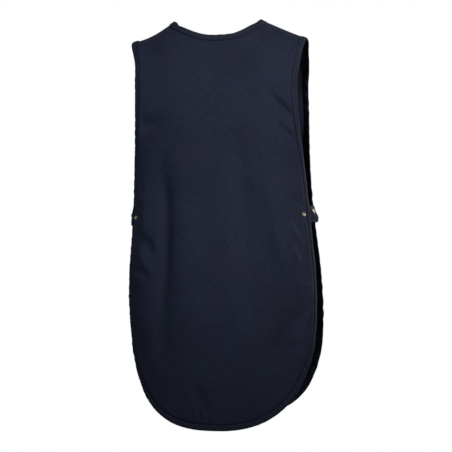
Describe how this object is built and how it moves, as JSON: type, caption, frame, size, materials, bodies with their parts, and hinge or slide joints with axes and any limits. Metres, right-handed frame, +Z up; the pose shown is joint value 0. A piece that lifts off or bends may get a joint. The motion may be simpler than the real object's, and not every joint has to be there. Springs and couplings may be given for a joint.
{
  "type": "cobbler apron",
  "caption": "Navy woven cobbler apron with bound edges, open sides and a press-stud tab on each side, shown as worn from the back.",
  "frame": {"origin": "midway between the neck ends of the two shoulder seams, where the apron rests on the shoulders", "axes": "+Z up, +Y towards the wearer's front, +X to the wearer's right"},
  "size_m": [0.3725, 0.2434, 0.7602],
  "materials": {
    "navy_cloth": "matte plain weave polycotton",
    "navy_tape": "matte bias tape, stitched",
    "stud_metal": "satin plated"
  },
  "bodies": {
    "root": {"back_panel": "navy_cloth", "front_panel": "navy_cloth", "edge_binding": "navy_tape", "neck_binding": "navy_tape", "waist_tab_right": "navy_cloth", "waist_tab_left": "navy_cloth", "panel_stud_right": "stud_metal", "panel_stud_left": "stud_metal", "spare_stud_right": "stud_metal", "spare_stud_left": "stud_metal"}
  },
  "joints": []
}
